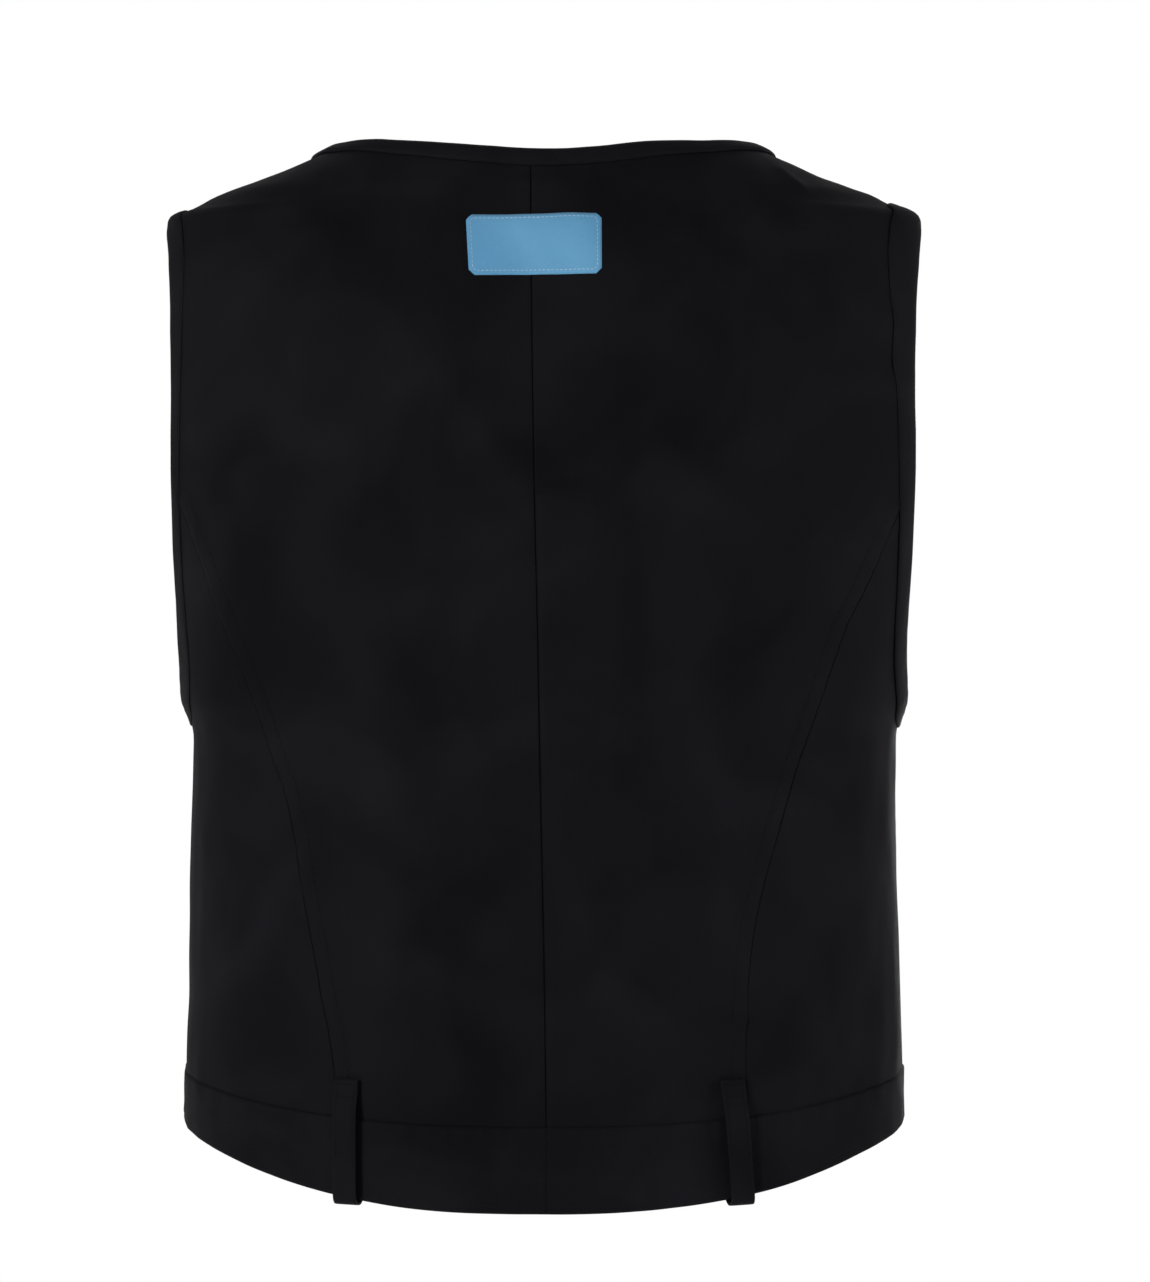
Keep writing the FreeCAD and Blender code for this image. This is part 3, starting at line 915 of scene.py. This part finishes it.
for title, look in layers.items():
    clothSheet("back" + title, "back", (-1.50, 1.50), sheetHeights, look, backCuts(look["tuck"], look["tuck"], "hem"),
               {"held": "hung", "on": ["back_" + look["under"]]})
    for side, name in sides:
        clothSheet("front" + title + name, "front_" + name.lower(), reachOf("front", side), frontHeights, look,
                   frontCuts(side, look["tuck"], look["tuck"], "hem"),
                   {"held": "hung", "on": ["front_" + look["under"] + "_" + name.lower()]})
print("plies and lining made")


# the folded bands

lengths = {"neck": 0.40, "hemBack": 0.52, "armholeBack": 0.42, "armholeFront": 0.36, "frontEdge": 0.60,
           "hemFront": 0.40}
# shares of the way round: where the hem bands meet at the side, and where a front's band ends under its edge band
hemReach = {"back": 0.9995, "side": 1.0005, "front": 2.169}


def lappedOn(side):  # the front's own side
    return lambda point: side > 0


def lappedAhead(side):  # on the back, the cloth ahead of the side seam takes the front's form
    return lambda point: side > 0 and point.y > 0


def lappedRight(point):
    return point.x > 0


foldedBand("neckBinding", "back", "neck", neckEdge, lengths["neck"], lappedRight)
foldedBand("hemBandBack", "back", "hem", hemEdge(-hemReach["back"], hemReach["back"], "back"), lengths["hemBack"],
           lappedOn(-1))
for side, name in sides:
    foldedBand("armholeBindingBack" + name, "back", "armhole", armholeEdge(side, "back"), lengths["armholeBack"],
               lappedAhead(side))
    body = "front_" + name.lower()
    foldedBand("armholeBindingFront" + name, body, "armhole", armholeEdge(side, "front"), lengths["armholeFront"],
               lappedOn(side))
    foldedBand("frontEdgeBinding" + name, body, "frontEdge", frontEdgePath(side), lengths["frontEdge"], lappedOn(side))
    foldedBand("hemBandFront" + name, body, "hem", hemEdge(hemReach["side"] * side, hemReach["front"] * side, body),
               lengths["hemFront"], lappedOn(side))
print("bands made")


# patches sewn on: the blank label and the two strips of the closure

plain = {"cornerSewn": 0.55, "tilt": 0.0, "taper": 0.0}  # cornerSewn: how much of each corner the stitches cut off
closure = {**plain, "x": (-0.046, -0.008), "z": (-0.473, -0.262), "step": 0.0040, "chamfer": 0.0020,
           "thickness": 0.0007, "waveSize": 0.030}
patches = {
    # taper: how far the left edge leans in; sewn: the stitches' distance from the edge, and their height
    "labelPatch": {**plain, "x": (-0.0380, 0.0306), "z": (-0.0793, -0.0475), "step": 0.0015, "chamfer": 0.0029,
                   "lift": 0.0010, "thickness": 0.0006, "wave": 0.00055, "waveSize": 0.021, "roll": 0.00035,
                   "tilt": 0.0001, "taper": 0.0020, "sewn": (0.0022, 0.0001)},
    "hookStrip": {**closure, "lift": -0.0049, "wave": 0.0, "roll": 0.0, "sewn": (0.0020, -0.0008)},
    "loopStrip": {**closure, "lift": 0.0009, "wave": 0.0002, "roll": 0.0002, "sewn": (0.0020, 0.0001)},
}
rolledRim = 0.0016  # width of the edge of a patch that rolls under


def patchPoint(name, x, z, body):  # a place on a patch, from its middle, and the way out there
    look = patches[name]
    half = [(look[axis][1] - look[axis][0]) / 2 for axis in ("x", "z")]
    rim = min(half[0] - abs(x), half[1] - abs(z))
    lapped = body == "front_right"
    lean = look["taper"] * (x / half[0] - 1) * z / half[1] / 4
    flat = Vector((sum(look["x"]) / 2 + x + lean, 0, sum(look["z"]) / 2 + z + look["tilt"] * x / half[0]))
    flat.y = yOver(flat.x, flat.z, lapped, body != "back")
    wave = noise.noise(Vector((x, z, 4.0)) / look["waveSize"]) * look["wave"]
    lift = look["lift"] + wave - look["roll"] * (1 - ease(rim, 0.0, rolledRim))
    return liftAt(flat, lapped, lift), wayOut(flat, lapped)


def sewnPatch(name, body, finish, slot, under):
    look = patches[name]
    width, height = (look[axis][1] - look[axis][0] for axis in ("x", "z"))
    mesh = gridMesh(round(width / look["step"]), round(height / look["step"]))
    bmesh.ops.scale(mesh, verts=mesh.verts[:], vec=(width, height, 1))
    for across in (1, -1):
        for up in (1, -1):
            corner = (across * (width - look["chamfer"]) / 2, up * (height - look["chamfer"]) / 2, 0)
            planeCut(mesh, corner, (across, up, 0), True)
    mapCloth(mesh, lambda vert: vert.co.xy)
    for vert in mesh.verts:
        vert.co = patchPoint(name, vert.co.x, vert.co.y, body)[0]
    if body != "back":  # seen from the front, x runs the other way round
        bmesh.ops.reverse_faces(mesh, faces=mesh.faces[:])
    rideBody(mesh, name, body, finishes[finish], look["thickness"], slot, {"held": "laid", "on": [under]})


sewnPatch("labelPatch", "back", "label", "label_cloth", "back_panel_left")
sewnPatch("hookStrip", "front_right", "tape", "hook_tape", "front_lining_right")
sewnPatch("loopStrip", "front_left", "tape", "loop_tape", "front_panel_left")
print("patches made")


# belt loops: straps folded under at the top, sewn down there, and turned up under the hem

strap = {
    "width": 0.0126,
    "thickness": 0.0013,
    "top": -0.4865,
    "drop": 0.060,
    "cloth": 0.18,
    "across": 12,
    "steps": 5,  # rows of cloth from one point of the path to the next
    "edge": 0.0004,  # how far the folded edges fall away
    "x": {"Left": -0.0980, "Right": 0.0958},
    "lean": {"Left": 0.0003, "Right": 0.0048},
    "twist": {"Left": 0.0010, "Right": -0.0014},
    # distance out from the form, height above the hem
    "inside": [(-0.0074, 0.0260), (-0.0075, 0.0120), (-0.0074, 0.0035), (-0.0062, -0.0012), (-0.0026, -0.0038),
               (0.0020, -0.0038), (0.0052, -0.0014), (0.0063, 0.0050), (0.0064, 0.0200)],
    # distance out from the form, height below the top
    "outside": [(0.0062, 0.0230), (0.0056, 0.0150), (0.0040, 0.0095), (0.0036, 0.0050), (0.0034, 0.0010),
                (0.0027, -0.0002), (0.0018, 0.0006), (0.0016, 0.0080)],
    # two seams along it, from the turn at the hem up to the fold at the top, and two rows of tacks across it
    "seams": {"across": 0.36, "length": 0.050, "below": 4},
    "tacks": {"down": (0.0022, 0.0085), "wide": 0.78, "length": 0.0105, "folded": 12},
}


def smoothPath(points, steps):  # a curve through the points, with this many steps from one to the next
    found = []
    for index in range(len(points) - 1):
        before, start = points[max(index - 1, 0)], points[index]
        stop, after = points[index + 1], points[min(index + 2, len(points) - 1)]
        for step in range(steps):
            t = step / steps
            found.append(0.5 * (2 * start + (stop - before) * t + (2 * before - 5 * start + 4 * stop - after) * t ** 2
                                + (3 * start - before - 3 * stop + after) * t ** 3))
    return found + [points[-1]]


def strapPlan(name):  # the strap's foot on the form, the ways out and across there, and its path
    x = strap["x"][name]
    foot = Vector((x, yOver(x, strap["top"], False, False), 0))
    out = wayOut(Vector((x, foot.y, strap["top"])), False)
    out.z = 0.0
    out.normalize()
    hem = hemHeight(foot.y)
    points = [Vector((away, hem + up)) for away, up in strap["inside"]]
    points += [Vector((away, strap["top"] - down)) for away, down in strap["outside"]]
    return foot, out, Vector((-out.y, out.x, 0)), smoothPath(points, strap["steps"])


def strapPoint(plan, name, row, across):
    foot, out, side, path = plan
    down = (strap["top"] - path[row].y) / strap["drop"]
    shift = strap["lean"][name] * down + across * strap["width"]
    away = path[row].x - strap["edge"] * abs(2 * across) ** 6 + strap["twist"][name] * across * down
    away += foldAt(Vector((foot.x, foot.y, path[row].y))) * 0.5
    return foot + out * away + side * shift + Vector((0, 0, path[row].y))


for name in ("Right", "Left"):
    plan = strapPlan(name)
    rows = len(plan[3]) - 1
    mesh = gridMesh(strap["across"], rows)
    mapCloth(mesh, lambda vert: (vert.co.x * strap["width"], vert.co.y * strap["cloth"]))
    for vert in mesh.verts:
        vert.co = strapPoint(plan, name, round((vert.co.y + 0.5) * rows), vert.co.x)
    piece = finishMesh(mesh, "beltLoop" + name, finishes["shell"])
    thicken(piece, strap["thickness"])
    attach(piece, "back")
    length = sum((stop - start).length for start, stop in zip(plan[3], plan[3][1:]))
    declare([piece], "beltLoop" + name, "binding_cloth")
    mesh.free()
print("belt loops made")


# shoulder pads, under the lining

pad = {"centre": (0.1485, -0.0070), "half": (0.0205, 0.0300), "top": -0.0043, "thickness": 0.0040, "square": 0.5}

for side, name in sides:
    mesh = bmesh.new()
    bmesh.ops.create_uvsphere(mesh, u_segments=48, v_segments=24, radius=1.0)
    mapCloth(mesh, lambda vert: (vert.co.x * pad["half"][0], vert.co.y * pad["half"][1]))
    for vert in mesh.verts:
        across, along, up = vert.co
        x, y = side * (pad["centre"][0] + pad["half"][0] * across), pad["centre"][1] + pad["half"][1] * along
        rise = math.copysign(abs(up) ** pad["square"], up)
        lift = pad["top"] + pad["thickness"] * (rise - 1) / 2
        vert.co = liftAt(Vector((x, y, zOver(x, y, side > 0))), side > 0, lift)
    if side < 0:
        bmesh.ops.reverse_faces(mesh, faces=mesh.faces[:])
    piece = finishMesh(mesh, "shoulderPad" + name, finishes["foam"])
    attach(piece, "back")
    declare([piece], "shoulderPad" + name, "pad_foam")
    mesh.free()
print("shoulder pads made")


# stitches, each a short length of thread

stitch = {"length": 0.0027, "gap": 0.0010, "radius": 0.00023, "flat": 0.75, "inset": 0.0015, "proud": 0.0001}
labelStitch = 0.62  # their length on the label, against the others
princessRun = {"top": -0.2180, "fall": 0.2720, "proud": 0.00005}
sewn = {"neck": 0.38, "hemBack": 0.52, "princess": 0.29, "armholeBack": 0.35, "armholeFront": 0.36, "frontEdge": 0.58,
        "hemFront": 0.30}  # length of each seam
hemSewn = {"back": 0.995, "side": 1.004, "front": 2.12}  # shares of the way round, as hemReach


def stitchPlace(start, stop, out):
    along = stop - start
    half = along.length / 2
    along.normalize()
    across = out.cross(along).normalized()
    columns = (across * stitch["radius"], along.cross(across) * stitch["radius"] * stitch["flat"], along * half)
    return Matrix.Translation((start + stop) / 2) @ Matrix(columns).transposed().to_4x4()


def sewLines(name, body, lines, finish="thread", size=1.0):  # a line is a course and its length
    meshes = {}
    for at, length in lines:
        count = max(1, round(length / (stitch["length"] + stitch["gap"]) / size))
        half = stitch["length"] * size / length / 2
        for index in range(count):
            middle = (index + 0.5) / count
            (start, out), (stop, _) = at(middle - half), at(middle + half)
            part = "Upper" if start.z + stop.z > 2 * blends["split"] else "Lower"
            mesh = meshes.setdefault("" if body == "back" else part, bmesh.new())
            bmesh.ops.create_uvsphere(mesh, u_segments=6, v_segments=4, radius=1.0,
                                      matrix=stitchPlace(start, stop, out))
    for part, mesh in meshes.items():
        piece = finishMesh(mesh, name + part, finishes[finish])
        if part:
            bendWithFront(piece, part)
        else:
            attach(piece, body)
        mesh.free()


def bandSeam(kind, edgePoint, lappedAt):
    look = bands[kind]

    def at(along):
        point = edgePoint(along, 0.0)
        width = hemHeight(point.y, "hemSeam") - point.z if kind == "hem" else look["width"]
        point = edgePoint(along, width - stitch["inset"])
        out = wayOut(point, lappedAt(point))
        lift = look["stand"] + look["crown"] * 0.3 + foldAt(point) + (seamAt(point) if kind == "hem" else 0.0)
        return point + out * lift, out
    return at


def panelSeam(side):  # beside a princess seam
    def at(along):
        z = princessRun["top"] - princessRun["fall"] * along
        x = princess[side].at(z)[0] - side * edges["allowance"]["width"]
        point = Vector((x, yOver(x, z, False, False), z))
        return liftAt(point, False, princessRun["proud"], True), wayOut(point, False)
    return at


def patchBorder(name, body):  # eight straight lines just inside the edge of a patch
    look = patches[name]
    inset, proud = look["sewn"]
    wide, high = ((look[axis][1] - look[axis][0]) / 2 - inset for axis in ("x", "z"))
    trim = look["chamfer"] * look["cornerSewn"]

    def line(start, stop):
        def at(along):
            place, out = patchPoint(name, start[0] + (stop[0] - start[0]) * along,
                                    start[1] + (stop[1] - start[1]) * along, body)
            return place + out * proud, out
        return at, math.dist(start, stop)
    corners = [(-wide + trim, high), (wide - trim, high), (wide, high - trim), (wide, -high + trim),
               (wide - trim, -high), (-wide + trim, -high), (-wide, -high + trim), (-wide, high - trim)]
    return [line(start, stop) for start, stop in zip(corners, corners[1:] + corners[:1])]


def strapSeams(name):
    plan, seam, tack = strapPlan(name), strap["seams"], strap["tacks"]
    rows = len(plan[3])
    turn = strap["steps"] * (len(strap["inside"]) - 1)
    top = rows - 1 - strap["steps"] * seam["below"]

    def upright(across):
        def at(along):
            row = turn + (top - turn) * min(max(along, 0.0), 1.0)
            low = min(int(row), rows - 2)
            start, stop = (strapPoint(plan, name, index, across) for index in (low, low + 1))
            return start + (stop - start) * (row - low) + plan[1] * stitch["proud"], plan[1]
        return at, seam["length"]

    def level(down):
        row = min(range(turn, rows - tack["folded"]), key=lambda index: abs(plan[3][index].y - strap["top"] + down))

        def at(along):
            return strapPoint(plan, name, row, (along - 0.5) * tack["wide"]) + plan[1] * stitch["proud"], plan[1]
        return at, tack["length"]
    return [upright(-seam["across"]), upright(seam["across"])] + [level(down) for down in tack["down"]]


sewLines("neckStitches", "back", [(bandSeam("neck", neckEdge, lappedRight), sewn["neck"])])
sewLines("hemStitchesBack", "back",
         [(bandSeam("hem", hemEdge(-hemSewn["back"], hemSewn["back"], "back"), lappedOn(-1)), sewn["hemBack"])])
sewLines("labelStitches", "back", patchBorder("labelPatch", "back"), "labelThread", labelStitch)
for side, name in sides:
    body = "front_" + name.lower()
    hem = hemEdge(hemSewn["side"] * side, hemSewn["front"] * side, body)
    sewLines("princessStitches" + name, "back", [(panelSeam(side), sewn["princess"])])
    sewLines("armholeStitchesBack" + name, "back",
             [(bandSeam("armhole", armholeEdge(side, "back"), lappedAhead(side)), sewn["armholeBack"])])
    sewLines("armholeStitchesFront" + name, body,
             [(bandSeam("armhole", armholeEdge(side, "front"), lappedOn(side)), sewn["armholeFront"])])
    sewLines("frontEdgeStitches" + name, body,
             [(bandSeam("frontEdge", frontEdgePath(side), lappedOn(side)), sewn["frontEdge"])])
    sewLines("hemStitchesFront" + name, body, [(bandSeam("hem", hem, lappedOn(side)), sewn["hemFront"])])
    sewLines("beltLoopStitches" + name, "back", strapSeams(name))
sewLines("loopStripStitches", "front_left", patchBorder("loopStrip", "front_left"), "thread")
sewLines("hookStripStitches", "front_right", patchBorder("hookStrip", "front_right"), "thread")
print("stitches made")


# stage, light and camera

def plainMaterial(name, colour, strength):
    paint = Paint(name)
    paint.set(Base_Color=(*colour, 1), Roughness=0.9, Specular_IOR_Level=0.1)
    path = paint.node("ShaderNodeLightPath")
    rays = [Wire(paint, path.outputs[ray]) for ray in ("Is Camera Ray", "Is Glossy Ray", "Is Transmission Ray")]
    shown = (rays[0] + rays[1]).maths("MAXIMUM", rays[2])
    glow = paint.wire("ShaderNodeEmission", {}, {"Color": (*colour, 1), "Strength": strength})
    mixed = paint.wire("ShaderNodeMixShader", {}, {0: shown, 1: Wire(paint, paint.shader.outputs[0]), 2: glow})
    paint.tree.links.new(mixed.socket, paint.tree.nodes["Material Output"].inputs["Surface"])
    return paint.material


stageLook = {"floor": -1.15, "reach": 9.0, "back": 4.5}

paper = plainMaterial("backdropPaper", (1.0, 1.0, 1.0), 1.0)
for name, turn, place in (("floor", 0.0, (0, 0, stageLook["floor"])),
                          ("backdrop", math.pi / 2, (0, stageLook["back"], 0))):
    mesh = bmesh.new()
    bmesh.ops.create_grid(mesh, x_segments=1, y_segments=1, size=stageLook["reach"])
    for vert in mesh.verts:
        x, y = vert.co.x, vert.co.y
        vert.co = (x, y, place[2]) if turn == 0 else (x, place[1], y)
    finishMesh(mesh, name, paper, False)
    pieces.pop(name)

world = bpy.data.worlds.new("studio")
bpy.context.scene.world = world
world.use_nodes = True
background = world.node_tree.nodes["Background"]
background.inputs["Color"].default_value = (1.0, 1.0, 1.0, 1.0)
background.inputs["Strength"].default_value = 0.22

view = {"place": (0.017, -1.8, -0.2656), "lens": 93.6, "sensor": 36.0, "aim": (0, 0, -0.28)}  # the lamps' aim
lamps = {
    # place, size, power, colour
    "key": ((-1.5, -2.0, 0.40), 0.45, 49.0, (1.0, 0.99, 0.98)),
    "rightRim": ((2.2, -0.7, -0.1), 0.8, 23.0, (0.98, 0.99, 1.0)),
    "front": ((0.4, 2.4, -0.15), 1.4, 46.0, (1.0, 1.0, 1.0)),
}
for name, (place, size, power, colour) in lamps.items():
    light = bpy.data.lights.new(name, "AREA")
    light.size, light.energy, light.color = size, power, colour
    lamp = bpy.data.objects.new(name, light)
    bpy.context.scene.collection.objects.link(lamp)
    lamp.location = place
    lamp.rotation_euler = (Vector(view["aim"]) - Vector(place)).to_track_quat("-Z", "Y").to_euler()

camera = bpy.data.objects.new("camera", bpy.data.cameras.new("camera"))
camera.data.lens, camera.data.sensor_width = view["lens"], view["sensor"]
camera.location = view["place"]
camera.rotation_euler = (math.pi / 2, 0, 0)
bpy.context.scene.collection.objects.link(camera)
bpy.context.scene.camera = camera
bpy.context.scene.view_settings.view_transform = "Standard"

print("finished", len(pieces), "pieces")
